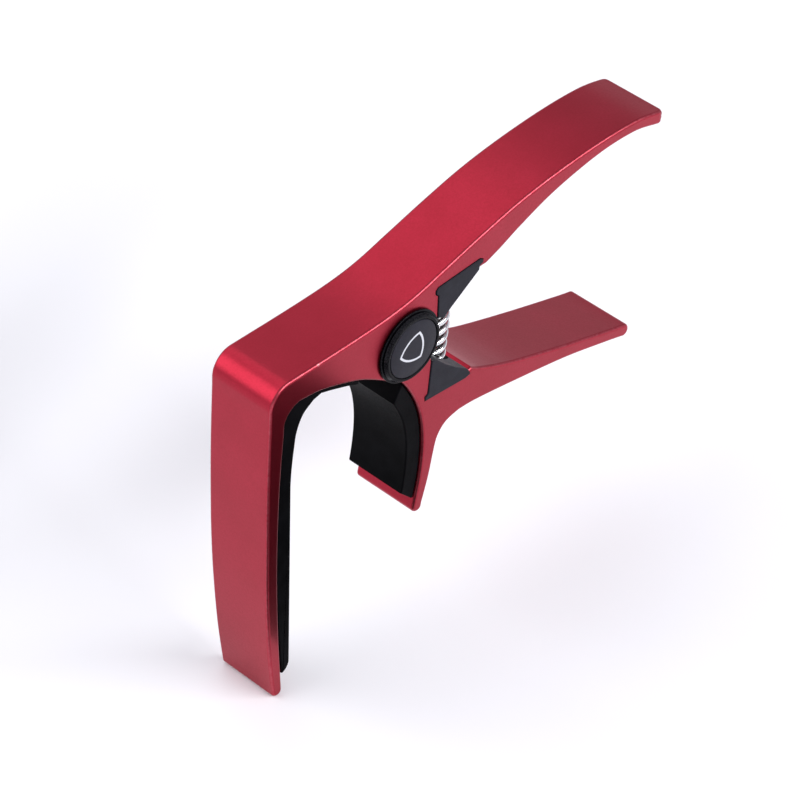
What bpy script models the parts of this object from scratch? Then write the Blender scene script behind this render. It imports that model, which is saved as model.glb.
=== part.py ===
"""Trigger capo for a concert ukulele: two hinged arms, rubber pads and a compression spring.

Lengths here are millimetres and become metres when a mesh is made. +X runs from the strings
through the neck towards the handles, +Y is the hinge axis, and +Z is up along the fret bar.
The origin is the centre of the fret pad's pressing face.
"""

import math

import bmesh
import bpy
from mathutils import Matrix, Vector

MM = 0.001

# Arms
ARM_WIDTH = 10.1
BAR_TIP_WIDTH = 9.3
TAPER_TOP = 0.0
BAR_TIP_Z = -25.85
UPPER_END_X = 66.27
TIP_CORNER = 1.2
EDGE_FILLET = 0.4
PIVOT_X = 19.45
PIVOT_Z = 19.5
CHEEK_THICKNESS = 2.7
CHEEK_RADIUS = 5.2
CHEEK_SPACE = 5.5
TONGUE_THICKNESS = 3.5
TONGUE_RADIUS = 4.9
TONGUE_SPACE = 5.45

# Pads
PAD_WIDTH = 9.3
PAD_FILLET = 0.22
LINING_THICKNESS = 0.65
NECK_PAD_THICKNESS = 2.5
PAD_FOOT_Z = -22.5
LINING_END_X = 11.8
SEAT_GAP = 0.1

# Hinge stack
PIN_RADIUS = 1.6
PIN_BORE_RADIUS = 1.0
SCREW_RADIUS = 0.9
BUSH_RADIUS = 2.3
RUN_GAP = 0.1
HEAD_RADIUS = 2.55
COUNTERBORE_RADIUS = 3.4
COUNTERBORE_DEPTH = 1.2
FLANGE_RADIUS = 5.1
FLANGE_TOP = 5.45
CAP_RADIUS = 4.8
CAP_RIM_RADIUS = 4.58
CAP_TOP = 6.1
DISC_RADIUS = 4.05
DISC_DEPTH = 0.35

# Spring and its seats
SEAT_WIDTH = 10.4
SPRING_RADIUS = 2.2
WIRE_RADIUS = 0.43
SPRING_X = 28.15
SPRING_BOW = 0.55
SPRING_BOTTOM = 9.15
SPRING_TOP = 24.75
SPRING_TURNS = 10.5
POCKET_RADIUS = 3.0

HALF_WIDTH = ARM_WIDTH / 2
CHEEK_INNER = HALF_WIDTH - CHEEK_THICKNESS
TONGUE_HALF = TONGUE_THICKNESS / 2
ROUND = 36
MIN_STEP = 0.2


# ---------------------------------------------------------------- outlines in the XZ plane

def arc(centre, radius, start, end, steps):
    """Points along an arc, angles in degrees, both ends included."""
    angles = [math.radians(start + (end - start) * i / steps) for i in range(steps + 1)]
    return [(centre[0] + radius * math.cos(a), centre[1] + radius * math.sin(a)) for a in angles]


def smooth(points, steps):
    """A curve through all the points, with its tangents taken from their neighbours."""
    ends = [points[0]] + list(points) + [points[-1]]
    curve = []
    for a, b, c, d in zip(ends, ends[1:], ends[2:], ends[3:]):
        for i in range(steps):
            t = i / steps
            curve.append(tuple(
                0.5 * (2 * b[k] + (c[k] - a[k]) * t
                       + (2 * a[k] - 5 * b[k] + 4 * c[k] - d[k]) * t ** 2
                       + (3 * b[k] - a[k] - 3 * c[k] + d[k]) * t ** 3)
                for k in (0, 1)))
    return curve + [tuple(points[-1])]


def joined(*runs):
    """One closed outline from several runs, without points that all but coincide."""
    outline = []
    for run in runs:
        for point in run:
            if not outline or math.dist(point, outline[-1]) > MIN_STEP:
                outline.append(point)
    if math.dist(outline[0], outline[-1]) < MIN_STEP:
        outline.pop()
    return outline


def shifted(run, distance):
    """An open run moved sideways to its right by a distance."""
    moved = []
    for i, point in enumerate(run):
        before = run[max(i - 1, 0)]
        after = run[min(i + 1, len(run) - 1)]
        along = Vector((after[0] - before[0], after[1] - before[1])).normalized()
        moved.append((point[0] + along.y * distance, point[1] - along.x * distance))
    return moved


def grown(outline, distance):
    """A closed anticlockwise outline grown outwards, its corners kept sharp."""
    result = []
    for i, point in enumerate(outline):
        before = Vector(point) - Vector(outline[i - 1])
        after = Vector(outline[(i + 1) % len(outline)]) - Vector(point)
        first = Vector((before.y, -before.x)).normalized()
        second = Vector((after.y, -after.x)).normalized()
        corner = (first + second) / (1 + first.dot(second))
        result.append((point[0] + corner.x * distance, point[1] + corner.y * distance))
    return result


BAR_INNER = smooth([(-1.25, -25.05), (-2.1, -13.0), (-2.48, -1.0), (-2.15, 10.0), (-1.53, 18.0)], 4)
ARM_UNDERSIDE = smooth([(1.2, 21.52), (4.2, 21.15), (7.7, 20.05), (11.7, 18.4), (15.68, 15.92)], 4)
INNER_CORNER = arc((1.25, 18.75), 2.78, 172, 96, 6)
JAW_INNER = smooth([(18.25, 14.55), (20.35, 11.4), (22.2, 7.0), (22.95, 2.0), (22.65, -3.5),
                    (21.65, -8.6)], 4)


def upper_arm_outline():
    """Fret bar, top corner and upper handle, with the cheek's disc below them."""
    tip = arc((-2.05, -25.05), 0.8, 180, 360, 8)
    cheek = arc((PIVOT_X, PIVOT_Z), CHEEK_RADIUS, 226, 365, 20)
    under_seat = [(24.95, 21.0), (25.5, 22.6), (26.3, 24.42)]
    handle_bottom = smooth([(33.3, 24.45), (35.9, 25.4), (39.7, 27.0), (45.7, 29.0), (53.7, 30.4),
                            (60.2, 30.4), (64.4, 29.4)], 3)
    handle_tip = arc((65.3, 30.15), 0.97, 250, 430, 9)
    handle_top = smooth([(65.65, 31.05), (61.0, 32.0), (54.4, 32.25), (46.5, 31.85), (39.2, 30.95),
                         (32.4, 29.45), (25.9, 27.75), (20.7, 26.4), (15.7, 25.75), (8.7, 25.55),
                         (-0.8, 25.6)], 3)
    corner = arc((-0.8, 22.4), 3.2, 90, 178, 9)
    bar_outer = smooth([(-4.02, 21.3), (-4.3, 13.0), (-4.4, 4.0), (-4.3, -7.0), (-3.7, -17.5),
                        (-2.85, -25.05)], 4)
    return joined(tip, BAR_INNER, INNER_CORNER, ARM_UNDERSIDE, cheek, under_seat, handle_bottom,
                  handle_tip, handle_top, corner, bar_outer)


def lower_arm_outline():
    """Tongue disc, jaw, the bend behind it and the lower handle."""
    tongue = arc((PIVOT_X, PIVOT_Z), TONGUE_RADIUS, -40, 256, 32)
    jaw_tip = arc((22.45, -8.9), 0.85, 165, 340, 7)
    jaw_outer = smooth([(23.3, -8.8), (24.4, -5.0), (25.15, -1.4)], 4)
    bend = smooth([(25.15, -1.4), (25.8, 0.9), (27.2, 2.4), (29.5, 2.95)], 4)
    handle_bottom = smooth([(29.5, 2.95), (32.7, 2.7), (39.7, 1.5), (49.7, -0.45), (57.7, -2.55),
                            (61.35, -3.6)], 3)
    handle_tip = arc((61.66, -2.75), 0.94, 255, 435, 9)
    handle_top = smooth([(61.9, -1.85), (59.0, -1.05), (49.7, 1.75), (41.1, 4.55), (36.7, 6.25),
                         (33.4, 7.75), (31.6, 8.75)], 3)
    under_seat = [(30.2, 8.5), (27.0, 10.6), (24.5, 13.6), (23.75, 15.1)]
    return joined(tongue, JAW_INNER, jaw_tip, jaw_outer, bend, handle_bottom, handle_tip,
                  handle_top, under_seat)


UPPER_SEAT = [(24.2, 24.7), (24.65, 24.3), (24.65, 20.75), (25.8, 20.3), (27.0, 21.2), (29.4, 22.75),
              (31.85, 24.35), (31.95, 24.95), (32.55, 25.15), (32.55, 25.6), (31.95, 25.95),
              (24.65, 25.6), (24.2, 25.25)]
LOWER_SEAT = [(23.0, 8.45), (30.3, 7.85), (31.15, 8.05), (30.85, 8.9), (30.4, 9.4), (28.3, 10.85),
              (26.6, 12.3), (24.9, 13.95), (23.9, 14.45), (23.45, 9.35), (22.95, 9.05)]


# ---------------------------------------------------------------- solids

def finish(name, bm, material, parent=None, sharp=35):
    """A named object from a mesh in millimetres, its origin at its parent or at the world's."""
    origin = parent.location if parent else Vector()
    bmesh.ops.recalc_face_normals(bm, faces=bm.faces)
    bmesh.ops.transform(bm, matrix=Matrix.Scale(MM, 4), verts=bm.verts)
    bmesh.ops.translate(bm, vec=-origin, verts=bm.verts)
    mesh = bpy.data.meshes.new(name)
    bm.to_mesh(mesh)
    bm.free()
    mesh.shade_smooth()
    mesh.set_sharp_from_angle(angle=math.radians(sharp))
    piece = bpy.data.objects.new(name, mesh)
    bpy.context.collection.objects.link(piece)
    piece.parent = parent
    if material:
        mesh.materials.append(material)
    return piece


def prism_mesh(outline, low, high):
    """An outline extruded along Y, with its rims marked for filleting."""
    bm = bmesh.new()
    near = [bm.verts.new((x, low, z)) for x, z in outline]
    far = [bm.verts.new((x, high, z)) for x, z in outline]
    bm.faces.new(near)
    bm.faces.new(list(reversed(far)))
    for i in range(len(outline)):
        j = (i + 1) % len(outline)
        bm.faces.new((near[j], near[i], far[i], far[j]))
    weight = bm.edges.layers.float.new("bevel_weight_edge")
    for edge in bm.edges:
        if edge.verts[0].co.y == edge.verts[1].co.y:
            edge[weight] = 1.0
    return bm


def slice_across(bm, point, normal):
    """Cut a mesh's faces along a plane without dividing it, so that the two sides can bend there."""
    geometry = bm.verts[:] + bm.edges[:] + bm.faces[:]
    bmesh.ops.bisect_plane(bm, geom=geometry, dist=0.05, plane_co=point, plane_no=normal)


def round_handle_end(bm, end, steps=4):
    """Round the two corners of a handle's end, seen from above."""
    start = end - TIP_CORNER
    for i in range(steps):
        slice_across(bm, (start + TIP_CORNER * math.sin(math.pi / 2 * i / steps), 0, 0), (1, 0, 0))
    for vert in bm.verts:
        past = min(max(vert.co.x - start, 0), TIP_CORNER)
        inset = TIP_CORNER - math.sqrt(TIP_CORNER ** 2 - past ** 2)
        vert.co.y *= 1 - inset / HALF_WIDTH


def taper_bar(bm):
    """Narrow the fret bar from the neck's far edge down to its tip."""
    slice_across(bm, (0, 0, TAPER_TOP), (0, 0, 1))
    slope = (ARM_WIDTH - BAR_TIP_WIDTH) / ARM_WIDTH / (TAPER_TOP - BAR_TIP_Z)
    for vert in bm.verts:
        vert.co.y *= 1 - slope * max(TAPER_TOP - vert.co.z, 0)


def turned_mesh(profile, segments=ROUND, centre=(PIVOT_X, PIVOT_Z)):
    """A closed profile of (radius, y) points turned about a line along Y."""
    bm = bmesh.new()
    rings = []
    for radius, y in profile:
        if radius == 0:
            rings.append([bm.verts.new((centre[0], y, centre[1]))])
            continue
        rings.append([bm.verts.new((x, y, z)) for x, z in arc(centre, radius, 0, 360, segments)[:-1]])
    pairs = list(zip(rings, rings[1:]))
    if len(rings[0]) > 1:
        pairs.append((rings[-1], rings[0]))
    for first, second in pairs:
        for i in range(segments):
            j = (i + 1) % segments
            corners = [first[i % len(first)], first[j % len(first)]]
            corners += [second[j % len(second)], second[i % len(second)]]
            bm.faces.new(list(dict.fromkeys(corners)))
    return bm


def fillet(piece, width, segments=2):
    """Round the rims that prism_mesh marked."""
    bevel = piece.modifiers.new("fillet", "BEVEL")
    bevel.limit_method = "WEIGHT"
    bevel.width = width * MM
    bevel.segments = segments
    bevel.use_clamp_overlap = False


def cut(piece, name, bm):
    """Cut a cutter's solid out of a piece."""
    cutter = finish(name, bm, None)
    cutter.hide_render = True
    cutter.display_type = "WIRE"
    boolean = piece.modifiers.new(name, "BOOLEAN")
    boolean.operation = "DIFFERENCE"
    boolean.object = cutter


def material(name, colour, metallic, roughness):
    """A plain Principled material."""
    made = bpy.data.materials.new(name)
    made.use_nodes = True
    shader = made.node_tree.nodes["Principled BSDF"]
    shader.inputs["Base Color"].default_value = (*colour, 1.0)
    shader.inputs["Metallic"].default_value = metallic
    shader.inputs["Roughness"].default_value = roughness
    return made


# ---------------------------------------------------------------- arms

def hinge_holes(arm, name):
    """The bore that the bushes line in the cheeks and the sleeve lines in the tongue."""
    hole = [(0, -HALF_WIDTH - 1), (BUSH_RADIUS + RUN_GAP, -HALF_WIDTH - 1),
            (BUSH_RADIUS + RUN_GAP, HALF_WIDTH + 1), (0, HALF_WIDTH + 1)]
    cut(arm, name + "_bore_cutter", turned_mesh(hole))


def upper_arm(red):
    bm = prism_mesh(upper_arm_outline(), -HALF_WIDTH, HALF_WIDTH)
    round_handle_end(bm, UPPER_END_X)
    taper_bar(bm)
    arm = finish("upper_arm", bm, red)
    fillet(arm, EDGE_FILLET)
    slot = grown(UPPER_SEAT, SEAT_GAP)
    cut(arm, "upper_slot_cutter", prism_mesh(slot, -HALF_WIDTH - 1, HALF_WIDTH + 1))
    middle = [(0, -CHEEK_INNER), (TONGUE_SPACE, -CHEEK_INNER), (TONGUE_SPACE, CHEEK_INNER),
              (0, CHEEK_INNER)]
    cut(arm, "tongue_space_cutter", turned_mesh(middle))
    hinge_holes(arm, "upper")
    floor = HALF_WIDTH - COUNTERBORE_DEPTH
    for side, label in ((-1, "near"), (1, "far")):
        bore = [(0, side * floor), (COUNTERBORE_RADIUS, side * floor),
                (COUNTERBORE_RADIUS, side * (HALF_WIDTH + 1)), (0, side * (HALF_WIDTH + 1))]
        cut(arm, label + "_counterbore_cutter", turned_mesh(bore))
    return arm


def lower_arm(red, pivot):
    bm = prism_mesh(lower_arm_outline(), -HALF_WIDTH, HALF_WIDTH)
    arm = finish("lower_arm", bm, red, pivot)
    fillet(arm, EDGE_FILLET)
    slot = grown(LOWER_SEAT, SEAT_GAP)
    cut(arm, "lower_slot_cutter", prism_mesh(slot, -HALF_WIDTH - 1, HALF_WIDTH + 1))
    for side, label in ((-1, "near"), (1, "far")):
        cheek = [(0, side * TONGUE_HALF), (CHEEK_SPACE, side * TONGUE_HALF),
                 (CHEEK_SPACE, side * (HALF_WIDTH + 1)), (0, side * (HALF_WIDTH + 1))]
        cut(arm, label + "_cheek_space_cutter", turned_mesh(cheek))
    hinge_holes(arm, "lower")
    return arm


# ---------------------------------------------------------------- pads

def fret_pad(rubber):
    """The strip that presses the strings, carried round the corner as a thinner lining."""
    bar = [point for point in BAR_INNER if point[1] > PAD_FOOT_Z]
    under = [point for point in ARM_UNDERSIDE if point[0] < LINING_END_X]
    back = shifted(joined(bar, INNER_CORNER, under), SEAT_GAP)
    foot = arc((-1.7, PAD_FOOT_Z + 1.7), 1.7, 285, 360, 5)
    corner = smooth([(0.0, 8.5), (0.15, 11.0), (0.5, 14.0), (0.95, 16.6), (2.0, 18.7), (3.7, 19.9)], 3)
    lining = shifted([point for point in under if point[0] > 5.0], SEAT_GAP + LINING_THICKNESS)
    outline = joined(foot, corner, lining, list(reversed(back)))
    pad = finish("fret_pad", prism_mesh(outline, -PAD_WIDTH / 2, PAD_WIDTH / 2), rubber)
    fillet(pad, PAD_FILLET)
    return pad


def neck_pad(rubber, pivot):
    """The thick cushion that lines the jaw and bears on the back of the neck."""
    back = shifted(JAW_INNER[2:-1], SEAT_GAP)
    front = shifted(JAW_INNER[3:-2], SEAT_GAP + NECK_PAD_THICKNESS)
    outline = joined(front, list(reversed(back)))
    outline.reverse()
    pad = finish("neck_pad", prism_mesh(outline, -PAD_WIDTH / 2, PAD_WIDTH / 2), rubber, pivot)
    fillet(pad, PAD_FILLET)
    return pad


# ---------------------------------------------------------------- hinge hardware

def pivot_barrel(steel):
    """Female half of the hinge pin: a headed tube that enters from the far side."""
    head_under = HALF_WIDTH - COUNTERBORE_DEPTH + 0.5
    head_top = HALF_WIDTH + 0.1
    profile = [(0, 2.6), (PIN_BORE_RADIUS, 2.2), (PIN_BORE_RADIUS, -3.2), (PIN_RADIUS, -3.2),
               (PIN_RADIUS, head_under), (HEAD_RADIUS, head_under), (HEAD_RADIUS, head_top - 0.2),
               (HEAD_RADIUS - 0.2, head_top), (0, head_top)]
    barrel = finish("pivot_barrel", turned_mesh(profile), steel)
    slot = [(PIVOT_X - 4, PIVOT_Z - 0.35), (PIVOT_X + 4, PIVOT_Z - 0.35),
            (PIVOT_X + 4, PIVOT_Z + 0.35), (PIVOT_X - 4, PIVOT_Z + 0.35)]
    cut(barrel, "barrel_slot_cutter", prism_mesh(slot, head_top - 0.4, head_top + 1))


def pivot_screw(steel):
    """Male half of the hinge pin: a socket-headed screw that enters from the near side."""
    head_under = HALF_WIDTH - COUNTERBORE_DEPTH + 0.5
    head_top = HALF_WIDTH + 0.1
    profile = [(0, 0.8), (SCREW_RADIUS - 0.2, 0.8), (SCREW_RADIUS, 0.6), (SCREW_RADIUS, -head_under),
               (HEAD_RADIUS, -head_under), (HEAD_RADIUS, -head_top + 0.2), (HEAD_RADIUS - 0.2, -head_top),
               (0, -head_top)]
    screw = finish("pivot_screw", turned_mesh(profile), steel)
    cut(screw, "screw_socket_cutter",
        prism_mesh(arc((PIVOT_X, PIVOT_Z), 1.15, 0, 300, 5), -head_top - 1, -head_top + 0.5))


def pivot_sleeve(brass, pivot):
    """The sleeve pressed into the tongue that turns on the barrel."""
    profile = [(PIN_RADIUS + RUN_GAP, -TONGUE_HALF), (BUSH_RADIUS, -TONGUE_HALF),
               (BUSH_RADIUS, TONGUE_HALF), (PIN_RADIUS + RUN_GAP, TONGUE_HALF)]
    return finish("pivot_sleeve", turned_mesh(profile), brass, pivot)


def thrust_washer(name, side, nylon):
    """The thin washer between a cheek and the tongue."""
    inner = TONGUE_HALF + RUN_GAP
    outer = CHEEK_INNER - RUN_GAP
    profile = [(PIN_RADIUS + RUN_GAP, side * inner), (4.4, side * inner),
               (4.4, side * outer), (PIN_RADIUS + RUN_GAP, side * outer)]
    return finish(name, turned_mesh(profile), nylon)


def flanged_bush(name, side, plastic):
    """The bush that lines a cheek, holds a head in its cup and shows its flange outside."""
    cup_floor = HALF_WIDTH - COUNTERBORE_DEPTH + 0.4
    seat = HALF_WIDTH - COUNTERBORE_DEPTH + SEAT_GAP
    under = HALF_WIDTH + SEAT_GAP
    bore = PIN_RADIUS + RUN_GAP
    shoulder = COUNTERBORE_RADIUS - SEAT_GAP
    cup = HEAD_RADIUS + SEAT_GAP
    profile = [(bore, CHEEK_INNER + 0.05), (BUSH_RADIUS, CHEEK_INNER + 0.05), (BUSH_RADIUS, seat),
               (shoulder, seat), (shoulder, under), (FLANGE_RADIUS - 0.1, under),
               (FLANGE_RADIUS, under + 0.1), (FLANGE_RADIUS, FLANGE_TOP - 0.1),
               (FLANGE_RADIUS - 0.1, FLANGE_TOP), (cup, FLANGE_TOP), (cup, cup_floor), (bore, cup_floor)]
    return finish(name, turned_mesh([(r, side * y) for r, y in profile]), plastic)


def pivot_cap(name, side, plastic):
    """The snap-in cap over a head, drafted, with a raised rim round a shallow recess."""
    under = FLANGE_TOP + SEAT_GAP
    floor = CAP_TOP - DISC_DEPTH
    spigot = under - 0.3
    profile = [(0, under), (1.9, under), (1.9, spigot), (HEAD_RADIUS, spigot), (HEAD_RADIUS, under),
               (CAP_RADIUS - 0.1, under), (CAP_RADIUS, under + 0.1),
               (CAP_RIM_RADIUS + 0.04, CAP_TOP - 0.2), (CAP_RIM_RADIUS, CAP_TOP - 0.08),
               (CAP_RIM_RADIUS - 0.15, CAP_TOP), (DISC_RADIUS + 0.2, CAP_TOP),
               (DISC_RADIUS + 0.1, CAP_TOP - 0.1), (DISC_RADIUS + 0.1, floor), (0, floor)]
    return finish(name, turned_mesh([(r, side * y) for r, y in profile]), plastic)


def cap_disc(name, side, plastic):
    """The face disc pressed into a cap's recess."""
    floor = CAP_TOP - DISC_DEPTH + SEAT_GAP
    profile = [(0, floor), (DISC_RADIUS, floor), (DISC_RADIUS, CAP_TOP - 0.12),
               (DISC_RADIUS - 0.12, CAP_TOP - 0.04), (0, CAP_TOP - 0.02)]
    return finish(name, turned_mesh([(r, side * y) for r, y in profile]), plastic)


# ---------------------------------------------------------------- spring and seats

def seat(name, outline, floor, mouth, plastic, parent=None):
    """A plastic block keyed into an arm, with a pocket for one end of the spring."""
    block = finish(name, prism_mesh(outline, -SEAT_WIDTH / 2, SEAT_WIDTH / 2), plastic, parent)
    fillet(block, 0.15)
    bm = bmesh.new()
    bmesh.ops.create_cone(bm, cap_ends=True, segments=40, radius1=POCKET_RADIUS, radius2=POCKET_RADIUS,
                          depth=abs(mouth - floor))
    bmesh.ops.translate(bm, vec=(SPRING_X, 0, (mouth + floor) / 2), verts=bm.verts)
    cut(block, name + "_pocket_cutter", bm)
    return block


def spring_height(turn):
    """Height along the spring after so many turns: closed coils at both ends, open between."""
    closed = 2 * WIRE_RADIUS + 0.12
    length = SPRING_TOP - SPRING_BOTTOM - 2 * WIRE_RADIUS
    pitch = (length - 2 * closed) / (SPRING_TURNS - 2)
    if turn < 1:
        return closed * turn
    if turn > SPRING_TURNS - 1:
        return length - closed * (SPRING_TURNS - turn)
    return closed + pitch * (turn - 1)


def spring(steel):
    """A round-wire compression spring, slightly bowed away from the hinge."""
    per_turn = 12
    sides = 6
    steps = round(SPRING_TURNS * per_turn)
    total = spring_height(SPRING_TURNS)
    centres = []
    for i in range(steps + 1):
        turn = SPRING_TURNS * i / steps
        height = spring_height(turn)
        bow = SPRING_BOW * math.sin(math.pi * height / total)
        angle = 2 * math.pi * turn
        centres.append(Vector((SPRING_X + bow + SPRING_RADIUS * math.cos(angle),
                               SPRING_RADIUS * math.sin(angle),
                               SPRING_BOTTOM + WIRE_RADIUS + height)))
    bm = bmesh.new()
    rings = []
    for i, centre in enumerate(centres):
        along = (centres[min(i + 1, steps)] - centres[max(i - 1, 0)]).normalized()
        across = along.cross(Vector((0, 0, 1))).normalized()
        up = across.cross(along)
        ring = []
        for k in range(sides):
            a = 2 * math.pi * k / sides
            ring.append(bm.verts.new(centre + WIRE_RADIUS * (math.cos(a) * across + math.sin(a) * up)))
        rings.append(ring)
    for first, second in zip(rings, rings[1:]):
        for k in range(sides):
            j = (k + 1) % sides
            bm.faces.new((first[k], first[j], second[j], second[k]))
    bm.faces.new(rings[0])
    bm.faces.new(list(reversed(rings[-1])))
    return finish("spring", bm, steel, sharp=80)


# ---------------------------------------------------------------- assembly

def build():
    for old in list(bpy.data.objects):
        bpy.data.objects.remove(old, do_unlink=True)
    red = material("red_anodised", (0.42, 0.02, 0.045), 0.85, 0.35)
    rubber = material("black_silicone", (0.015, 0.015, 0.018), 0.0, 0.6)
    plastic = material("charcoal_plastic", (0.035, 0.036, 0.045), 0.0, 0.4)
    chrome = material("chrome_wire", (0.8, 0.8, 0.8), 1.0, 0.12)
    steel = material("zinc_steel", (0.5, 0.5, 0.52), 1.0, 0.3)
    brass = material("sintered_brass", (0.6, 0.45, 0.2), 1.0, 0.35)
    nylon = material("natural_nylon", (0.75, 0.72, 0.65), 0.0, 0.5)

    pivot = bpy.data.objects.new("pivot_axis", None)
    pivot.location = (PIVOT_X * MM, 0, PIVOT_Z * MM)
    bpy.context.collection.objects.link(pivot)

    upper_arm(red)
    lower_arm(red, pivot)
    fret_pad(rubber)
    neck_pad(rubber, pivot)
    pivot_barrel(steel)
    pivot_screw(steel)
    pivot_sleeve(brass, pivot)
    for side, label in ((-1, "near"), (1, "far")):
        thrust_washer(label + "_thrust_washer", side, nylon)
        flanged_bush(label + "_flanged_bush", side, plastic)
        pivot_cap(label + "_pivot_cap", side, plastic)
        cap_disc(label + "_cap_disc", side, plastic)
    seat("upper_spring_seat", UPPER_SEAT, 24.9, 15.0, plastic)
    seat("lower_spring_seat", LOWER_SEAT, 9.0, 18.0, plastic, pivot)
    spring(chrome)


build()
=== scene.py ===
"""Looks for the ukulele trigger capo: finer arms, pads, caps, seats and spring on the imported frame.

Lengths are millimetres in the row frame until a mesh is made. +X runs from the strings towards the
handles, +Y along the hinge axis and +Z up the fret bar.
"""

import math

import bmesh
import bpy
from mathutils import Matrix, Vector


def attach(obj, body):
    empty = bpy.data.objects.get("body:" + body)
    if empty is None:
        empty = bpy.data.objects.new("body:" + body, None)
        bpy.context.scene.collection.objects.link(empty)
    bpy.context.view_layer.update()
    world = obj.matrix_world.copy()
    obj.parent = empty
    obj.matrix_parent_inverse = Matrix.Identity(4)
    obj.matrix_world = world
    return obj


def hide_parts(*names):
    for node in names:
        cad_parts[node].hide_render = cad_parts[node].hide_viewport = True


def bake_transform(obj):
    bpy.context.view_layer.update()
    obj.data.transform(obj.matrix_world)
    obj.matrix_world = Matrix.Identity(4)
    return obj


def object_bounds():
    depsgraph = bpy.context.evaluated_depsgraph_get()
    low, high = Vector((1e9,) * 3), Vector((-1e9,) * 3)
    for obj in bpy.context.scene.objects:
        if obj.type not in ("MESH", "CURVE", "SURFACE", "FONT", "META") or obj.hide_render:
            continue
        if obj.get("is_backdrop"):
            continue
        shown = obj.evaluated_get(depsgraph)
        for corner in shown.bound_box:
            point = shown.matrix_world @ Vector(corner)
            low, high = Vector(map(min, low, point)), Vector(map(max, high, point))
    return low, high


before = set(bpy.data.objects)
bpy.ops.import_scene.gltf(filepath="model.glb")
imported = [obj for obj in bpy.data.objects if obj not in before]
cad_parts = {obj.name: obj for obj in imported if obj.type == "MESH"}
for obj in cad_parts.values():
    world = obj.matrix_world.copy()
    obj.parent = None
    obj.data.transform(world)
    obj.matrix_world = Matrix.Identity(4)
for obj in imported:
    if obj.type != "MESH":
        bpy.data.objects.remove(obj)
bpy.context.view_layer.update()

MM = 0.001
NEAR_AND_FAR = ((-1, "near"), (1, "far"))

# Arms
HALF_WIDTH = 5.05
BAR_TIP_HALF = 4.65
TAPER_TOP = 0.0
BAR_TIP_Z = -25.85
UPPER_END_X = 66.27
TIP_CORNER = 1.2
TIP_STEPS = 8
HANDLE_STRIPS = range(26, 62, 3)
EDGE_FILLET = 0.4
PIVOT = (19.45, 19.5)
CHEEK_INNER = 2.35
CHEEK_RADIUS = 5.2
CHEEK_SPACE = 5.5
TONGUE_HALF = 1.75
TONGUE_RADIUS = 4.9
TONGUE_SPACE = 5.45
BORE_RADIUS = 2.4
COUNTERBORE_RADIUS = 3.4
COUNTERBORE_FLOOR = 3.85
OUTSIDE = HALF_WIDTH + 1

# Pads
PAD_HALF = 4.65
PAD_FILLET = 0.22
LINING_THICKNESS = 0.65
LINING_START_X = 5.0
LINING_END_X = 11.8
NECK_PAD_THICKNESS = 2.5
PAD_FOOT_Z = -22.5
PAD_FOOT_RADIUS = 1.7
PAD_FOOT_X = -1.7
SEAT_GAP = 0.1

# Bushes, caps and their discs
BUSH_GAP = 0.1
BUSH_BORE = 1.7
BUSH_RADIUS = 2.3
BUSH_FOOT = CHEEK_INNER + 0.05
FLANGE_RADIUS = 5.1
FLANGE_UNDER = 5.15
FLANGE_TOP = 5.45
CUP_RADIUS = 2.65
CUP_FLOOR = 4.25
CAP_RADIUS = 4.8
CAP_RIM_RADIUS = 4.58
CAP_TOP = 6.1
CAP_UNDER = 5.55
SPIGOT_INNER = 1.9
SPIGOT_OUTER = 2.55
SPIGOT_DEPTH = 0.3
DISC_RADIUS = 4.05
DISC_FLOOR = 5.75
SMALL_ROUND = 0.1
RIM_ROUND = 0.14
EDGE_BREAK = 0.08

# The plectrum printed on a disc: three arcs of one size, their centres at these turns in degrees
PLECTRUM_SIZE = 3.9
PLECTRUM_TURNS = (65, 185, 305)

# A nick in the near top edge of the upper arm
NICK = (4.0, -5.0, 25.45)

# Spring and its seats
SEAT_HALF = 5.2
SEAT_FILLET = 0.14
POCKET_RADIUS = 3.0
UPPER_POCKET = (15.0, 24.9)
LOWER_POCKET = (9.0, 18.0)
SPRING_RADIUS = 2.2
WIRE_RADIUS = 0.43
SPRING_X = 28.15
SPRING_BOW = 0.55
SPRING_BOTTOM = 9.15
SPRING_TOP = 24.75
SPRING_TURNS = 10.5
END_COIL_GAP = 0.12
STEPS_PER_TURN = 40
WIRE_SIDES = 14

# How finely the meshes are divided, and the steepest edge in degrees that is shaded smooth
STEPS = 10
ROUND = 96
MIN_STEP = 0.2
MERGE_DISTANCE = 0.1
SHARP = 38
SEAT_SHARP = 30
WIRE_SHARP = 60

# Studio, in metres: what the lights look at, the sky and the camera
AIM = (0.02, 0.0, 0.005)
FLOOR_SIZE = 6.0
SKY_COLOUR = (0.91, 0.92, 1.0, 1.0)
SKY_STRENGTH = 0.42
SENSOR_WIDTH = 36.0
FOCAL_LENGTH = 167.7
CLIP = (0.02, 20.0)
CAMERA_PLACE = (-0.23757, -0.23884, 0.30935)
CAMERA_RIGHT = (0.69118107, -0.72217098, 0.02716246)
CAMERA_UP = (0.4568663, 0.46576559, 0.75784933)
CAMERA_AHEAD = (0.55994813, 0.51140149, -0.65186394)


# ---------------------------------------------------------------- outlines in the XZ plane

def arc(centre, radius, start, end, steps):
    """Points along an arc, angles in degrees, both ends included."""
    angles = [math.radians(start + (end - start) * i / steps) for i in range(steps + 1)]
    return [(centre[0] + radius * math.cos(a), centre[1] + radius * math.sin(a)) for a in angles]


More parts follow.
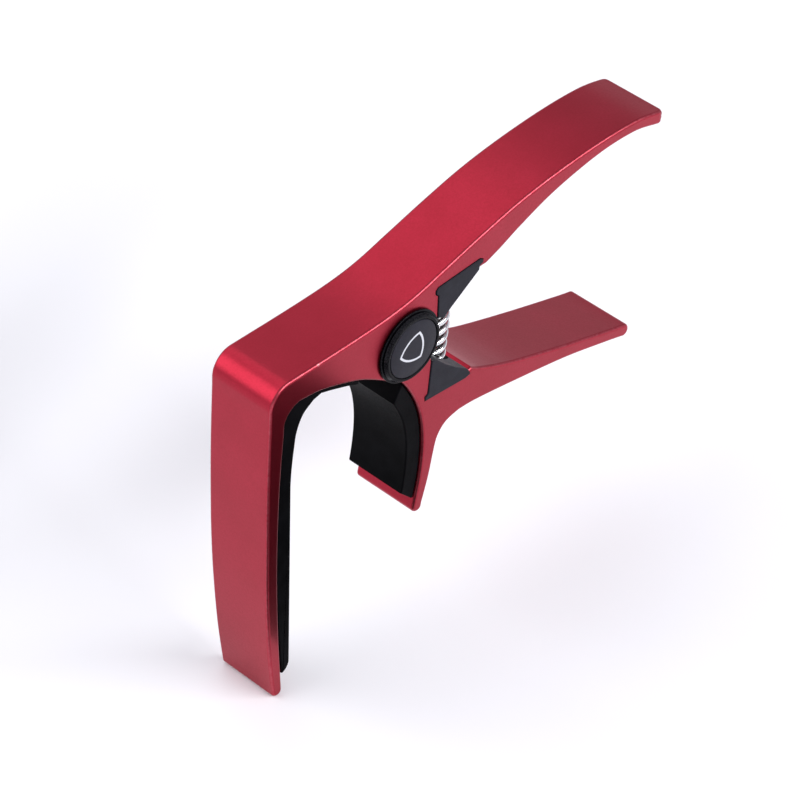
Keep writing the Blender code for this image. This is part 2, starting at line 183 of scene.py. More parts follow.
def smooth(points, steps=STEPS):
    """A curve through all the points, with its tangents taken from their neighbours."""
    ends = [points[0]] + list(points) + [points[-1]]
    curve = []
    for a, b, c, d in zip(ends, ends[1:], ends[2:], ends[3:]):
        for i in range(steps):
            t = i / steps
            curve.append(tuple(
                0.5 * (2 * b[k] + (c[k] - a[k]) * t
                       + (2 * a[k] - 5 * b[k] + 4 * c[k] - d[k]) * t ** 2
                       + (3 * b[k] - a[k] - 3 * c[k] + d[k]) * t ** 3)
                for k in (0, 1)))
    return curve + [tuple(points[-1])]


def joined(*runs):
    """One closed outline from several runs; where two runs all but meet, one point does for both."""
    outline = []
    for run in runs:
        end = outline[-1] if outline else (math.inf, math.inf)
        outline += [point for point in run if math.dist(point, end) > MIN_STEP]
    while math.dist(outline[0], outline[-1]) < MIN_STEP:
        outline.pop()
    return outline


def shifted(run, distance):
    """An open run moved sideways to its right by a distance."""
    moved = []
    for i, point in enumerate(run):
        before = run[max(i - 1, 0)]
        after = run[min(i + 1, len(run) - 1)]
        along = Vector((after[0] - before[0], after[1] - before[1])).normalized()
        moved.append((point[0] + along.y * distance, point[1] - along.x * distance))
    return moved


def grown(outline, distance):
    """A closed anticlockwise outline grown outwards, its corners kept sharp."""
    result = []
    for i, point in enumerate(outline):
        before = Vector(point) - Vector(outline[i - 1])
        after = Vector(outline[(i + 1) % len(outline)]) - Vector(point)
        first = Vector((before.y, -before.x)).normalized()
        second = Vector((after.y, -after.x)).normalized()
        corner = (first + second) / (1 + first.dot(second))
        result.append((point[0] + corner.x * distance, point[1] + corner.y * distance))
    return result


BAR_INNER = smooth([(-1.25, -25.05), (-2.1, -13.0), (-2.48, -1.0), (-2.15, 10.0), (-1.53, 18.0)])
ARM_UNDERSIDE = smooth([(1.2, 21.52), (4.2, 21.15), (7.7, 20.05), (11.7, 18.4), (15.68, 15.92)])
INNER_CORNER = arc((1.25, 18.75), 2.78, 172, 96, 14)
JAW_INNER = smooth([(18.25, 14.55), (20.35, 11.4), (22.2, 7.0), (22.95, 2.0), (22.65, -3.5),
                    (21.65, -8.6)])


def upper_arm_outline():
    """Fret bar, top corner and upper handle, with the cheek's disc below them."""
    tip = arc((-2.05, -25.05), 0.8, 180, 360, 16)
    cheek = arc(PIVOT, CHEEK_RADIUS, 226, 365, 48)
    under_seat = [(24.95, 21.0), (25.5, 22.6), (26.3, 24.42)]
    handle_bottom = smooth([(33.3, 24.45), (35.9, 25.4), (39.7, 27.0), (45.7, 29.0), (53.7, 30.4),
                            (60.2, 30.4), (64.4, 29.4)])
    handle_tip = arc((65.3, 30.15), 0.97, 250, 430, 18)
    handle_top = smooth([(65.65, 31.05), (61.0, 32.0), (54.4, 32.25), (46.5, 31.85), (39.2, 30.95),
                         (32.4, 29.45), (25.9, 27.75), (20.7, 26.4), (15.7, 25.75), (8.7, 25.55),
                         (-0.8, 25.6)])
    corner = arc((-0.8, 22.4), 3.2, 90, 178, 20)
    bar_outer = smooth([(-4.02, 21.3), (-4.3, 13.0), (-4.4, 4.0), (-4.3, -7.0), (-3.7, -17.5),
                        (-2.85, -25.05)])
    return joined(tip, BAR_INNER, INNER_CORNER, ARM_UNDERSIDE, cheek, under_seat, handle_bottom,
                  handle_tip, handle_top, corner, bar_outer)


def lower_arm_outline():
    """Tongue disc, jaw, the bend behind it and the lower handle."""
    tongue = arc(PIVOT, TONGUE_RADIUS, -40, 256, 96)
    jaw_tip = arc((22.45, -8.9), 0.85, 165, 340, 16)
    jaw_outer = smooth([(23.3, -8.8), (24.4, -5.0), (25.15, -1.4)])
    bend = smooth([(25.15, -1.4), (25.8, 0.9), (27.2, 2.4), (29.5, 2.95)])
    handle_bottom = smooth([(29.5, 2.95), (32.7, 2.7), (39.7, 1.5), (49.7, -0.45), (57.7, -2.55),
                            (61.35, -3.6)])
    handle_tip = arc((61.66, -2.75), 0.94, 255, 435, 18)
    handle_top = smooth([(61.9, -1.85), (59.0, -1.05), (49.7, 1.75), (41.1, 4.55), (36.7, 6.25),
                         (33.4, 7.75), (31.6, 8.75)])
    under_seat = [(30.2, 8.5), (27.0, 10.6), (24.5, 13.6), (23.75, 15.1)]
    return joined(tongue, JAW_INNER, jaw_tip, jaw_outer, bend, handle_bottom, handle_tip,
                  handle_top, under_seat)


UPPER_SEAT = [(24.2, 24.7), (24.65, 24.3), (24.65, 20.75), (25.8, 20.3), (27.0, 21.2), (29.4, 22.75),
              (31.85, 24.35), (31.95, 24.95), (32.55, 25.15), (32.55, 25.6), (31.95, 25.95),
              (24.65, 25.6), (24.2, 25.25)]
LOWER_SEAT = [(23.0, 8.45), (30.3, 7.85), (31.15, 8.05), (30.85, 8.9), (30.4, 9.4), (28.3, 10.85),
              (26.6, 12.3), (24.9, 13.95), (23.9, 14.45), (23.45, 9.35), (22.95, 9.05)]


# ---------------------------------------------------------------- meshes

def piece(name, bm, sharp=SHARP):
    """A named object from a mesh in millimetres, its origin at the world's."""
    bmesh.ops.recalc_face_normals(bm, faces=bm.faces)
    bmesh.ops.transform(bm, matrix=Matrix.Scale(MM, 4), verts=bm.verts)
    mesh = bpy.data.meshes.new(name)
    bm.to_mesh(mesh)
    bm.free()
    made = bpy.data.objects.new(name, mesh)
    bpy.context.collection.objects.link(made)
    crisp(made, sharp)
    return made


def crisp(made, sharp):
    """Smooth shading with every edge steeper than the angle kept sharp."""
    made.data.shade_smooth()
    made.data.set_sharp_from_angle(angle=math.radians(sharp))


def prism(outline, low, high):
    """An outline extruded along Y, with its rims marked for filleting."""
    bm = bmesh.new()
    near = [bm.verts.new((x, low, z)) for x, z in outline]
    far = [bm.verts.new((x, high, z)) for x, z in outline]
    bm.faces.new(near)
    bm.faces.new(list(reversed(far)))
    for i in range(len(outline)):
        j = (i + 1) % len(outline)
        bm.faces.new((near[j], near[i], far[i], far[j]))
    weight = bm.edges.layers.float.new("bevel_weight_edge")
    for edge in bm.edges:
        if edge.verts[0].co.y == edge.verts[1].co.y:
            edge[weight] = 1.0
    return bm


def slice_across(bm, point, normal):
    """Cut a mesh's faces along a plane without dividing it, so that the two sides can bend there."""
    geometry = bm.verts[:] + bm.edges[:] + bm.faces[:]
    bmesh.ops.bisect_plane(bm, geom=geometry, dist=MERGE_DISTANCE, plane_co=point,
                           plane_no=normal)


def round_handle_end(bm):
    """Round the two corners of the upper handle's end, seen from above."""
    start = UPPER_END_X - TIP_CORNER
    for i in range(TIP_STEPS):
        past = TIP_CORNER * math.sin(math.pi / 2 * i / TIP_STEPS)
        slice_across(bm, (start + past, 0, 0), (1, 0, 0))
    for vert in bm.verts:
        past = min(max(vert.co.x - start, 0), TIP_CORNER)
        inset = TIP_CORNER - math.sqrt(TIP_CORNER ** 2 - past ** 2)
        vert.co.y *= 1 - inset / HALF_WIDTH


def taper_bar(bm):
    """Narrow the fret bar from the neck's far edge down to its tip."""
    slice_across(bm, (0, 0, TAPER_TOP), (0, 0, 1))
    slope = (HALF_WIDTH - BAR_TIP_HALF) / HALF_WIDTH / (TAPER_TOP - BAR_TIP_Z)
    for vert in bm.verts:
        vert.co.y *= 1 - slope * max(TAPER_TOP - vert.co.z, 0)


def turned(profile):
    """A closed profile of (radius, y) points turned about the hinge axis."""
    bm = bmesh.new()
    rings = []
    for radius, y in profile:
        if radius == 0:
            rings.append([bm.verts.new((PIVOT[0], y, PIVOT[1]))])
            continue
        ring = arc(PIVOT, radius, 0, 360, ROUND)[:-1]
        rings.append([bm.verts.new((x, y, z)) for x, z in ring])
    pairs = list(zip(rings, rings[1:]))
    if len(rings[0]) > 1:
        pairs.append((rings[-1], rings[0]))
    for first, second in pairs:
        for i in range(ROUND):
            j = (i + 1) % ROUND
            corners = [first[i % len(first)], first[j % len(first)]]
            corners += [second[j % len(second)], second[i % len(second)]]
            bm.faces.new(list(dict.fromkeys(corners)))
    return bm


def cylinder(radius, low, high):
    """A solid cylinder about the hinge axis, between two heights along it."""
    return turned([(0, low), (radius, low), (radius, high), (0, high)])


def fillet(made, width, segments=6):
    """Round the rims that prism marked."""
    bevel = made.modifiers.new("fillet", "BEVEL")
    bevel.limit_method = "WEIGHT"
    bevel.width = width * MM
    bevel.segments = segments
    bevel.use_clamp_overlap = False


def cut(made, name, bm):
    """Cut a solid out of a piece; the cutter is given back, to be removed afterwards."""
    cutter = piece(name, bm)
    boolean = made.modifiers.new(name, "BOOLEAN")
    boolean.operation = "DIFFERENCE"
    boolean.object = cutter
    return cutter


def settled(made, cutters=(), sharp=SHARP):
    """Its modifiers turned into its own mesh, flat faces kept flat beside their fillets."""
    graph = bpy.context.evaluated_depsgraph_get()
    mesh = bpy.data.meshes.new_from_object(made.evaluated_get(graph), depsgraph=graph)
    made.modifiers.clear()
    made.data = mesh
    for cutter in cutters:
        bpy.data.objects.remove(cutter, do_unlink=True)
    crisp(made, sharp)
    weighted = made.modifiers.new("flat_faces", "WEIGHTED_NORMAL")
    weighted.keep_sharp = True
    return made


def tube(name, centres, radius, sides):
    """A round wire through a run of points, closed at both ends."""
    bm = bmesh.new()
    rings = []
    last = len(centres) - 1
    for i, centre in enumerate(centres):
        along = (centres[min(i + 1, last)] - centres[max(i - 1, 0)]).normalized()
        across = along.cross(Vector((0, 0, 1))).normalized()
        up = across.cross(along)
        ring = []
        for k in range(sides):
            a = 2 * math.pi * k / sides
            out = math.cos(a) * across + math.sin(a) * up
            ring.append(bm.verts.new(centre + radius * out))
        rings.append(ring)
    for first, second in zip(rings, rings[1:]):
        for k in range(sides):
            j = (k + 1) % sides
            bm.faces.new((first[k], first[j], second[j], second[k]))
    bm.faces.new(rings[0])
    bm.faces.new(list(reversed(rings[-1])))
    return piece(name, bm, WIRE_SHARP)


# ---------------------------------------------------------------- material building blocks

class Graph:
    """A material's node tree with short ways to add to it."""

    def __init__(self, name):
        self.material = bpy.data.materials.new(name)
        self.material.use_nodes = True
        self.tree = self.material.node_tree
        self.shader = self.tree.nodes["Principled BSDF"]

    def put(self, socket, value):
        """Link a socket, or set a constant on it."""
        if isinstance(value, bpy.types.NodeSocket):
            self.tree.links.new(value, socket)
        else:
            socket.default_value = value

    def add(self, kind, inputs=(), output=0, **settings):
        """A node with its settings and inputs; gives back one of its outputs."""
        node = self.tree.nodes.new(kind)
        for key, value in settings.items():
            setattr(node, key, value)
        for key, value in dict(inputs).items():
            self.put(node.inputs[key], value)
        return node.outputs[output]

    def set(self, **values):
        """Inputs of the Principled shader, with underscores for spaces."""
        for key, value in values.items():
            self.put(self.shader.inputs[key.replace("_", " ")], value)

    def position(self):
        """Place on the piece, in millimetres, so that the finish rides with it."""
        metres = self.add("ShaderNodeTexCoord", output="Object")
        return self.add("ShaderNodeVectorMath", {0: metres, "Scale": 1000.0}, operation="SCALE")

    def maths(self, operation, a, b=0.0):
        return self.add("ShaderNodeMath", {0: a, 1: b}, operation=operation)

    def stretch(self, place, scale):
        return self.add("ShaderNodeVectorMath", {0: place, 1: scale}, operation="MULTIPLY")

    def distance(self, place, point):
        """Distance between two places."""
        return self.add("ShaderNodeVectorMath", {0: place, 1: point}, output="Value",
                        operation="DISTANCE")

    def axis_distance(self, place, centre):
        """Distance of a place from a line along Y through (x, z)."""
        flat = self.stretch(place, (1.0, 0.0, 1.0))
        return self.distance(flat, (centre[0], 0.0, centre[1]))

    def noise(self, place, scale, detail=3.0, roughness=0.55):
        return self.add("ShaderNodeTexNoise", {"Vector": place, "Scale": scale, "Detail": detail,
                                               "Roughness": roughness})

    def remap(self, value, low, high, out_low=0.0, out_high=1.0):
        return self.add("ShaderNodeMapRange", {"Value": value, "From Min": low, "From Max": high,
                                               "To Min": out_low, "To Max": out_high})

    def blend(self, factor, a, b):
        """A colour between two others."""
        node = self.tree.nodes.new("ShaderNodeMix")
        node.data_type = "RGBA"
        self.put(node.inputs["Factor"], factor)
        self.put(node.inputs[6], a)
        self.put(node.inputs[7], b)
        return node.outputs[2]

    def bump(self, height, strength, distance, normal=None):
        inputs = {"Height": height, "Strength": strength, "Distance": distance}
        if normal is not None:
            inputs["Normal"] = normal
        return self.add("ShaderNodeBump", inputs)

    def rim_mask(self):
        """One on the rounded edges between the sides and the broad faces, zero elsewhere."""
        normal = self.add("ShaderNodeNewGeometry", output="Normal")
        split = self.tree.nodes.new("ShaderNodeSeparateXYZ")
        self.tree.links.new(normal, split.inputs[0])
        slope = self.maths("ABSOLUTE", split.outputs["Y"])
        rising = self.remap(slope, 0.15, 0.5)
        falling = self.remap(slope, 0.8, 0.98, 1.0, 0.0)
        return self.maths("MULTIPLY", rising, falling)


def colour(red, green, blue):
    return (red, green, blue, 1.0)


# ---------------------------------------------------------------- finishes

def red_anodised():
    """Blasted and dyed aluminium: satin, with faint mottling, hairlines, and rims lightened pink,
    partly rubbed wear and partly a painted highlight.
    """
    g = Graph("red_anodised")
    place = g.position()
    cloud = g.noise(place, 0.16, 4.0)
    grain = g.noise(place, 3.6, 3.0, 0.7)
    pits = g.noise(place, 1.6, 4.0, 0.65)
    hair = g.noise(g.stretch(place, (0.5, 6.0, 0.35)), 1.0, 5.0, 0.7)
    body = g.blend(g.remap(cloud, 0.35, 0.65), colour(0.375, 0.011, 0.031),
                   colour(0.405, 0.013, 0.036))
    speckled = g.blend(g.remap(grain, 0.38, 0.62, 0.0, 0.32), body, colour(0.29, 0.007, 0.019))
    # Rims lightened pink: partly rubbed anodising, partly a painted edge highlight.
    rubbed = g.maths("MULTIPLY", g.rim_mask(), g.remap(pits, 0.35, 0.7, 0.10, 0.30))
    rim_wear_and_painted_highlight = g.blend(rubbed, speckled, colour(0.72, 0.24, 0.28))
    nick = g.remap(g.distance(place, NICK), 0.10, 0.28, 1.0, 0.0)
    worn = g.blend(g.maths("MULTIPLY", nick, 0.55), rim_wear_and_painted_highlight, colour(0.70, 0.30, 0.32))
    scuff = g.remap(hair, 0.60, 0.72, 0.0, 0.10)
    rough = g.maths("ADD", g.remap(grain, 0.3, 0.7, 0.31, 0.38), scuff)
    fine = g.bump(g.maths("SUBTRACT", grain, nick), 0.22, 0.00003)
    bumped = g.bump(pits, 0.12, 0.00005, fine)
    g.set(Base_Color=worn, Metallic=0.92, Roughness=rough, Coat_Weight=0.16, Coat_Roughness=0.36,
          Normal=bumped)
    return g.material


def black_silicone():
    """Moulded silicone: near black, matt with a faint bloom and dust on it."""
    g = Graph("black_silicone")
    place = g.position()
    skin = g.noise(place, 5.0, 4.0, 0.6)
    cloud = g.noise(place, 0.35, 3.0)
    dust = g.remap(g.noise(place, 11.0, 2.0, 0.7), 0.64, 0.74, 0.0, 0.35)
    body = g.blend(g.remap(cloud, 0.35, 0.65), colour(0.002, 0.002, 0.0025),
                   colour(0.004, 0.004, 0.005))
    dusty = g.blend(dust, body, colour(0.022, 0.022, 0.026))
    g.set(Base_Color=dusty, Roughness=g.remap(skin, 0.3, 0.7, 0.42, 0.58), Specular_IOR_Level=0.025,
          Normal=g.bump(skin, 0.12, 0.00004))
    return g.material


def charcoal_plastic():
    """Glass-filled nylon with a fine spark-eroded texture and a bluish grey tint."""
    g = Graph("charcoal_plastic")
    place = g.position()
    grain = g.noise(place, 9.0, 3.0, 0.65)
    cloud = g.noise(place, 0.5, 3.0)
    body = g.blend(g.remap(cloud, 0.35, 0.65), colour(0.009, 0.009, 0.0145),
                   colour(0.014, 0.014, 0.021))
    rubbed = g.maths("MULTIPLY", g.rim_mask(), g.remap(grain, 0.45, 0.62, 0.0, 0.4))
    worn = g.blend(rubbed, body, colour(0.06, 0.06, 0.07))
    g.set(Base_Color=worn, Roughness=g.remap(grain, 0.3, 0.7, 0.36, 0.5), Specular_IOR_Level=0.12,
          Normal=g.bump(grain, 0.14, 0.00003))
    return g.material


def turned_plastic():
    """The caps' moulded plastic, with the faint rings left by a turned mould."""
    g = Graph("turned_plastic")
    place = g.position()
    grain = g.noise(place, 8.0, 3.0, 0.6)
    rings = g.maths("SINE", g.maths("MULTIPLY", g.axis_distance(place, PIVOT), 38.0))
    body = g.blend(g.remap(g.noise(place, 0.6), 0.35, 0.65), colour(0.002, 0.002, 0.003),
                   colour(0.0035, 0.0035, 0.005))
    rubbed = g.maths("MULTIPLY", g.rim_mask(), g.remap(grain, 0.45, 0.62, 0.0, 0.35))
    worn = g.blend(rubbed, body, colour(0.06, 0.06, 0.07))
    ringed = g.bump(rings, 0.05, 0.00002)
    g.set(Base_Color=worn, Roughness=g.remap(grain, 0.3, 0.7, 0.20, 0.28), Specular_IOR_Level=0.07,
          Normal=g.bump(grain, 0.08, 0.00002, ringed))
    return g.material


def disc_face():
    """The cap's face disc, printed in pale ink with the outline of a plectrum."""
    g = Graph("disc_face")
    place = g.position()
    grain = g.noise(place, 9.0, 3.0, 0.6)
    reach = PLECTRUM_SIZE / math.sqrt(3)
    far = None
    for turn in PLECTRUM_TURNS:
        angle = math.radians(turn)
        centre = (PIVOT[0] + reach * math.cos(angle), PIVOT[1] + reach * math.sin(angle))
        away = g.axis_distance(place, centre)
        far = away if far is None else g.maths("MAXIMUM", far, away)
    off = g.maths("ABSOLUTE", g.maths("SUBTRACT", far, PLECTRUM_SIZE))
    ragged = g.maths("ADD", off, g.remap(grain, 0.3, 0.7, -0.02, 0.02))
    ink = g.remap(ragged, 0.12, 0.17, 1.0, 0.0)
    body = g.blend(g.remap(g.noise(place, 0.6), 0.35, 0.65), colour(0.006, 0.0055, 0.012),
                   colour(0.009, 0.0085, 0.017))
    printed = g.blend(ink, body, colour(0.62, 0.63, 0.68))
    g.set(Base_Color=printed, Roughness=g.remap(grain, 0.3, 0.7, 0.34, 0.48), Specular_IOR_Level=0.2,
          Normal=g.bump(g.maths("ADD", grain, ink), 0.10, 0.00002))
    return g.material


def metal(name, light, dark, rough_low, rough_high, scale):
    """A turned or drawn metal with fine scratches and a little tarnish."""
    g = Graph(name)
    place = g.position()
    tarnish = g.noise(place, 0.8, 4.0, 0.6)
    lines = g.noise(g.stretch(place, (scale, scale * 0.15, scale)), 1.0, 4.0, 0.65)
    body = g.blend(g.remap(tarnish, 0.35, 0.7), colour(*light), colour(*dark))
    g.set(Base_Color=body, Metallic=1.0, Roughness=g.remap(lines, 0.3, 0.7, rough_low, rough_high),
          Normal=g.bump(lines, 0.06, 0.00002))
    return g.material


def chrome_wire():
    """Bright drawn wire, with the inner side of its coils painted dark: painted shade inside the
    spring.
    """
    g = Graph("chrome_wire")
    place = g.position()
    flat = g.stretch(place, (1.0, 1.0, 0.0))
    away = g.distance(flat, (SPRING_X + SPRING_BOW / 2, 0.0, 0.0))
    # Painted shade: the wire darkened on the side that faces the spring's axis.
    inner_painted_shade = g.remap(away, SPRING_RADIUS - 0.05, SPRING_RADIUS + 0.26, 1.0, 0.0)
    lines = g.noise(g.stretch(place, (3.0, 3.0, 1.0)), 1.0, 4.0, 0.65)
    bright = g.blend(g.remap(lines, 0.35, 0.7), colour(0.86, 0.86, 0.87), colour(0.70, 0.70, 0.72))
    body = g.blend(inner_painted_shade, bright, colour(0.06, 0.05, 0.045))
    g.set(Base_Color=body, Metallic=1.0, Roughness=g.remap(lines, 0.3, 0.7, 0.08, 0.18),
          Normal=g.bump(lines, 0.06, 0.00002))
    return g.material


def natural_nylon():
    """Punched nylon sheet, slightly yellowed."""
    g = Graph("natural_nylon")
    place = g.position()
    grain = g.noise(place, 6.0, 3.0)
    body = g.blend(g.remap(grain, 0.3, 0.7), colour(0.72, 0.69, 0.60), colour(0.80, 0.77, 0.70))
    g.set(Base_Color=body, Roughness=g.remap(grain, 0.3, 0.7, 0.4, 0.55),
          Normal=g.bump(grain, 0.08, 0.00003))
    return g.material


def paper_floor():
    """A plain pale sweep with the faintest mottle."""
    g = Graph("paper_floor")
    place = g.position()
    cloud = g.noise(place, 0.02, 3.0)
    g.set(Base_Color=g.blend(cloud, colour(0.895, 0.890, 0.925), colour(0.915, 0.910, 0.945)),
          Roughness=0.8, Specular_IOR_Level=0.0)
    return g.material


def paint(made, material):
    """One material over the whole piece."""
    made.data.materials.clear()
    made.data.materials.append(material)


# ---------------------------------------------------------------- pieces

def seat_slot(outline):
    """The slot right across an arm that a spring seat sits in."""
    return prism(grown(outline, SEAT_GAP), -OUTSIDE, OUTSIDE)


def upper_arm():
    """The bar and upper handle in one piece, with the hinge's two cheeks."""
    bm = prism(upper_arm_outline(), -HALF_WIDTH, HALF_WIDTH)
    round_handle_end(bm)
    taper_bar(bm)
    arm = piece("upper_arm_shell", bm)
    fillet(arm, EDGE_FILLET)
    cutters = [
        cut(arm, "upper_slot_cutter", seat_slot(UPPER_SEAT)),
        cut(arm, "tongue_space_cutter", cylinder(TONGUE_SPACE, -CHEEK_INNER, CHEEK_INNER)),
        cut(arm, "upper_bore_cutter", cylinder(BORE_RADIUS, -OUTSIDE, OUTSIDE)),
    ]
    for side, label in NEAR_AND_FAR:
        cup = cylinder(COUNTERBORE_RADIUS, side * COUNTERBORE_FLOOR, side * OUTSIDE)
        cutters.append(cut(arm, label + "_counterbore_cutter", cup))
    return settled(arm, cutters)


def lower_arm():
    """The jaw and lower handle in one piece, with the tongue that turns between the cheeks."""
    bm = prism(lower_arm_outline(), -HALF_WIDTH, HALF_WIDTH)
    for x in HANDLE_STRIPS:
        slice_across(bm, (x, 0, 0), (1, 0, 0))
    arm = piece("lower_arm_shell", bm)
    fillet(arm, EDGE_FILLET)
    cutters = [cut(arm, "lower_slot_cutter", seat_slot(LOWER_SEAT))]
    for side, label in NEAR_AND_FAR:
        cheek = cylinder(CHEEK_SPACE, side * TONGUE_HALF, side * OUTSIDE)
        cutters.append(cut(arm, label + "_cheek_space_cutter", cheek))
    cutters.append(cut(arm, "lower_bore_cutter", cylinder(BORE_RADIUS, -OUTSIDE, OUTSIDE)))
    return settled(arm, cutters)


def fret_pad():
    """The strip that presses the strings, carried round the corner as a thinner lining."""
    bar = [point for point in BAR_INNER if point[1] > PAD_FOOT_Z]
    under = [point for point in ARM_UNDERSIDE if point[0] < LINING_END_X]
    back = shifted(joined(bar, INNER_CORNER, under), SEAT_GAP)
    foot = arc((PAD_FOOT_X, PAD_FOOT_Z + PAD_FOOT_RADIUS), PAD_FOOT_RADIUS, 285, 360, 14)
    corner = smooth([(0.0, 8.5), (0.15, 11.0), (0.5, 14.0), (0.95, 16.6), (2.0, 18.7), (3.7, 19.9)])
    lining = shifted([point for point in under if point[0] > LINING_START_X],
                     SEAT_GAP + LINING_THICKNESS)
    outline = joined(foot, corner, lining, list(reversed(back)))
    pad = piece("bar_pad", prism(outline, -PAD_HALF, PAD_HALF))
    fillet(pad, PAD_FILLET, 4)
    return settled(pad)


def neck_pad():
    """The thick cushion that lines the jaw and bears on the back of the neck.

    It stops a few steps short of the jaw's ends, and its front is a few steps shorter again.
    """
    inner = JAW_INNER[5:-3]
    back = shifted(inner, SEAT_GAP)
    front = shifted(inner[3:-3], SEAT_GAP + NECK_PAD_THICKNESS)
    outline = joined(front, list(reversed(back)))
    outline.reverse()
    pad = piece("jaw_pad", prism(outline, -PAD_HALF, PAD_HALF))
    fillet(pad, PAD_FILLET, 4)
    return settled(pad)


def flanged_bush(label, side):
    """The bush that lines a cheek and shows its flange outside."""
    seated = COUNTERBORE_RADIUS - BUSH_GAP
    shoulder = COUNTERBORE_FLOOR + BUSH_GAP
    profile = [(BUSH_BORE, BUSH_FOOT), (BUSH_RADIUS, BUSH_FOOT), (BUSH_RADIUS, shoulder),
               (seated, shoulder), (seated, FLANGE_UNDER)]
    profile += [(FLANGE_RADIUS - EDGE_BREAK, FLANGE_UNDER), (FLANGE_RADIUS, FLANGE_UNDER + EDGE_BREAK)]
    profile += arc((FLANGE_RADIUS - SMALL_ROUND, FLANGE_TOP - SMALL_ROUND), SMALL_ROUND, 0, 90, 6)
    profile += [(CUP_RADIUS, FLANGE_TOP), (CUP_RADIUS, CUP_FLOOR), (BUSH_BORE, CUP_FLOOR)]
    return piece(label + "_bush_flange", turned([(r, side * y) for r, y in profile]))


def pivot_cap(label, side):
    """The snap-in cap, with a ring of a spigot below and a rounded rim round a shallow recess."""
    spigot_end = CAP_UNDER - SPIGOT_DEPTH
    profile = [(0, CAP_UNDER), (SPIGOT_INNER, CAP_UNDER), (SPIGOT_INNER, spigot_end),
               (SPIGOT_OUTER, spigot_end), (SPIGOT_OUTER, CAP_UNDER)]
    profile += [(CAP_RADIUS - EDGE_BREAK, CAP_UNDER), (CAP_RADIUS, CAP_UNDER + EDGE_BREAK)]
    profile += arc((CAP_RIM_RADIUS - RIM_ROUND, CAP_TOP - RIM_ROUND), RIM_ROUND, 20, 90, 8)
    profile += arc((DISC_RADIUS + 2 * SMALL_ROUND, CAP_TOP - SMALL_ROUND), SMALL_ROUND, 90, 180, 4)
    profile += [(DISC_RADIUS + SMALL_ROUND, DISC_FLOOR), (0, DISC_FLOOR)]
    return piece(label + "_cap_shell", turned([(r, side * y) for r, y in profile]))


def cap_disc(label, side):
    """The face disc pressed into a cap's recess, very slightly domed."""
    floor = DISC_FLOOR + 0.1
    profile = [(0, floor), (DISC_RADIUS, floor)]
    profile += arc((DISC_RADIUS - SMALL_ROUND, CAP_TOP - RIM_ROUND), SMALL_ROUND, 0, 80, 5)
    profile += [(2.0, CAP_TOP - 0.03), (0, CAP_TOP - 0.02)]
    return piece(label + "_disc_shell", turned([(r, side * y) for r, y in profile]))


def seat(name, outline, pocket):
    """A plastic block with a pocket for one end of the spring."""
    block = piece(name, prism(outline, -SEAT_HALF, SEAT_HALF))
    fillet(block, SEAT_FILLET, 3)
    low, high = pocket
    bm = bmesh.new()
    bmesh.ops.create_cone(bm, cap_ends=True, segments=ROUND, radius1=POCKET_RADIUS,
                          radius2=POCKET_RADIUS, depth=high - low)
    bmesh.ops.translate(bm, vec=(SPRING_X, 0, (high + low) / 2), verts=bm.verts)
    return settled(block, [cut(block, name + "_pocket_cutter", bm)], SEAT_SHARP)


def spring_height(turn):
    """Height along the spring after so many turns: closed coils at both ends, open between."""
    closed = 2 * WIRE_RADIUS + END_COIL_GAP
    length = SPRING_TOP - SPRING_BOTTOM - 2 * WIRE_RADIUS
    pitch = (length - 2 * closed) / (SPRING_TURNS - 2)
    if turn < 1:
        return closed * turn
    if turn > SPRING_TURNS - 1:
        return length - closed * (SPRING_TURNS - turn)
    return closed + pitch * (turn - 1)


def spring():
    """A round-wire compression spring, slightly bowed away from the hinge."""
    steps = round(SPRING_TURNS * STEPS_PER_TURN)
    total = spring_height(SPRING_TURNS)
    centres = []
    for i in range(steps + 1):
        turn = SPRING_TURNS * i / steps
        height = spring_height(turn)
        bow = SPRING_BOW * math.sin(math.pi * height / total)
        angle = 2 * math.pi * turn
        centres.append(Vector((SPRING_X + bow + SPRING_RADIUS * math.cos(angle),
                               SPRING_RADIUS * math.sin(angle),
                               SPRING_BOTTOM + WIRE_RADIUS + height)))
    return tube("coil_spring", centres, WIRE_RADIUS, WIRE_SIDES)


# ---------------------------------------------------------------- assembly

def dress():
    """Every shown piece painted; each new piece stands for its CAD node, and all but the spring ride
    on their bodies.
    """
    red = red_anodised()
    rubber = black_silicone()
    plastic = charcoal_plastic()
    cap_plastic = turned_plastic()
    printed = disc_face()
    chrome = chrome_wire()
    steel = metal("zinc_steel", (0.58, 0.58, 0.60), (0.42, 0.42, 0.45), 0.24, 0.38, 5.0)
    brass = metal("sintered_brass", (0.62, 0.46, 0.22), (0.44, 0.31, 0.14), 0.3, 0.45, 4.0)
    nylon = natural_nylon()

    plan = [
        (upper_arm(), "frame", "upper_arm", red, "red_anodised"),
        (lower_arm(), "jaw", "lower_arm", red, "red_anodised"),
        (fret_pad(), "frame", "fret_pad", rubber, "black_silicone"),
        (neck_pad(), "jaw", "neck_pad", rubber, "black_silicone"),
        (seat("upper_seat_block", UPPER_SEAT, UPPER_POCKET), "frame", "upper_spring_seat", plastic,
         "charcoal_plastic"),
        (seat("lower_seat_block", LOWER_SEAT, LOWER_POCKET), "jaw", "lower_spring_seat", plastic,
         "charcoal_plastic"),
    ]
    for side, label in NEAR_AND_FAR:
        plan.append((flanged_bush(label, side), "frame", label + "_flanged_bush", cap_plastic,
                     "charcoal_plastic"))
        plan.append((pivot_cap(label, side), "frame", label + "_pivot_cap", cap_plastic,
                     "charcoal_plastic"))
        plan.append((cap_disc(label, side), "frame", label + "_cap_disc", printed,
                     "charcoal_plastic"))
    for made, body, node, material, slot in plan:
        paint(made, material)
        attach(made, body)
        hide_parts(node)

    coil = spring()
    paint(coil, chrome)
    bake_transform(coil)
    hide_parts("spring")

    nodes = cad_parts
    for name, material in (("pivot_barrel", steel), ("pivot_screw", steel), ("pivot_sleeve", brass),
                           ("near_thrust_washer", nylon), ("far_thrust_washer", nylon)):
        paint(nodes[name], material)


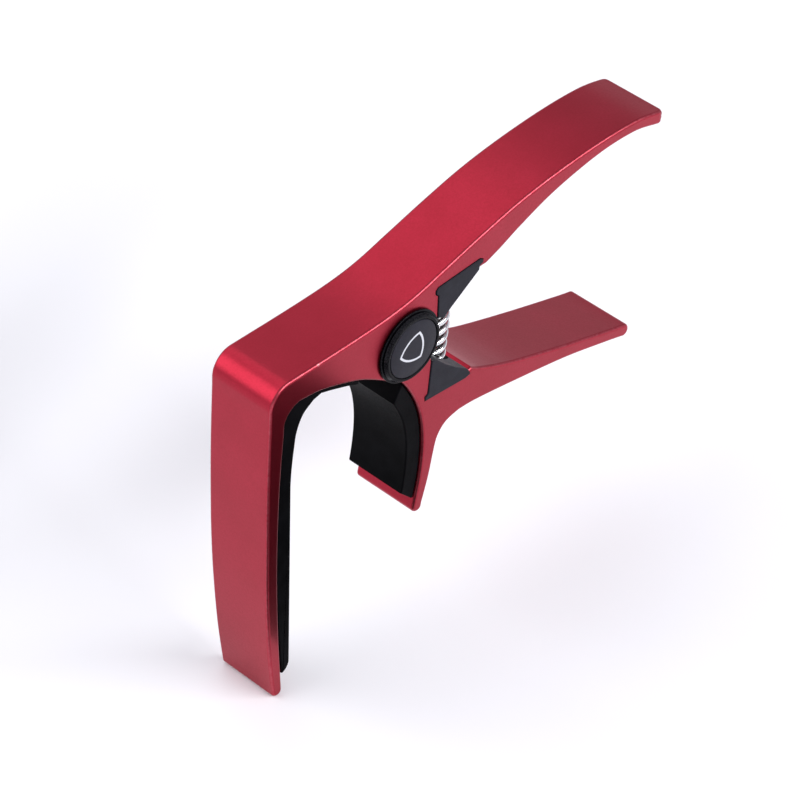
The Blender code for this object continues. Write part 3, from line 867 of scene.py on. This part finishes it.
def softbox(name, direction, distance, size, brightness):
    """An area light of a given brightness that looks at the middle of the capo."""
    lamp = bpy.data.lights.new(name, "AREA")
    lamp.shape = "RECTANGLE"
    lamp.size = size[0]
    lamp.size_y = size[1]
    lamp.energy = brightness * math.pi * size[0] * size[1]
    holder = bpy.data.objects.new(name, lamp)
    aim = Vector(AIM)
    holder.location = aim + Vector(direction).normalized() * distance
    holder.rotation_euler = (aim - holder.location).to_track_quat("-Z", "Y").to_euler()
    bpy.context.collection.objects.link(holder)


def flag(name, low, high):
    """A black block between two corners that only reflections see; it keeps some faces deep."""
    bpy.ops.mesh.primitive_cube_add(size=1.0, location=[(a + b) / 2 for a, b in zip(low, high)])
    block = bpy.context.active_object
    block.name = name
    block.scale = [b - a for a, b in zip(low, high)]
    block.visible_camera = False
    block.visible_diffuse = False
    block.visible_shadow = False
    black = Graph("flag_black")
    black.set(Base_Color=colour(0.0, 0.0, 0.0), Roughness=1.0, Specular_IOR_Level=0.0)
    paint(block, black.material)
    block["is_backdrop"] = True


def camera():
    """The long lens that the capo is seen through."""
    lens = bpy.data.cameras.new("camera")
    lens.sensor_width = SENSOR_WIDTH
    lens.lens = FOCAL_LENGTH
    lens.clip_start, lens.clip_end = CLIP
    holder = bpy.data.objects.new("camera", lens)
    back = -Vector(CAMERA_AHEAD)
    rows = zip(CAMERA_RIGHT, CAMERA_UP, back, CAMERA_PLACE)
    holder.matrix_world = Matrix([*rows, (0, 0, 0, 1)])
    bpy.context.collection.objects.link(holder)
    bpy.context.scene.camera = holder


def studio():
    """Pale floor, soft light from above and both sides, black flags and a cool grey sky."""
    lowest = min(corner[2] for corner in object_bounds())
    bpy.ops.mesh.primitive_plane_add(size=FLOOR_SIZE, location=(0, 0, lowest))
    floor = bpy.context.active_object
    floor.name = "floor"
    paint(floor, paper_floor())
    floor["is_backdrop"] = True

    softbox("corner_box", (-0.65, 0.51, 0.56), 0.9, (0.85, 0.8), 2.3)
    softbox("top_box", (0.18, 0.53, 0.82), 1.1, (0.72, 0.95), 1.15)
    softbox("edge_strip", (0.25, -0.76, 0.58), 0.8, (0.75, 0.13), 17.0)
    softbox("end_box", (0.80, 0.50, 0.34), 1.0, (0.5, 0.6), 0.2)
    flag("neck_flag", (0.001, -0.150, -0.021), (0.015, -0.008, 0.0115))
    flag("front_flag", (-0.044, -0.068, lowest + 0.0005), (-0.004, -0.012, lowest + 0.001))

    world = bpy.data.worlds.new("studio_world")
    bpy.context.scene.world = world
    world.use_nodes = True
    sky = world.node_tree.nodes["Background"]
    sky.inputs["Color"].default_value = SKY_COLOUR
    sky.inputs["Strength"].default_value = SKY_STRENGTH
    bpy.context.scene.view_settings.view_transform = "Standard"


dress()
studio()
camera()
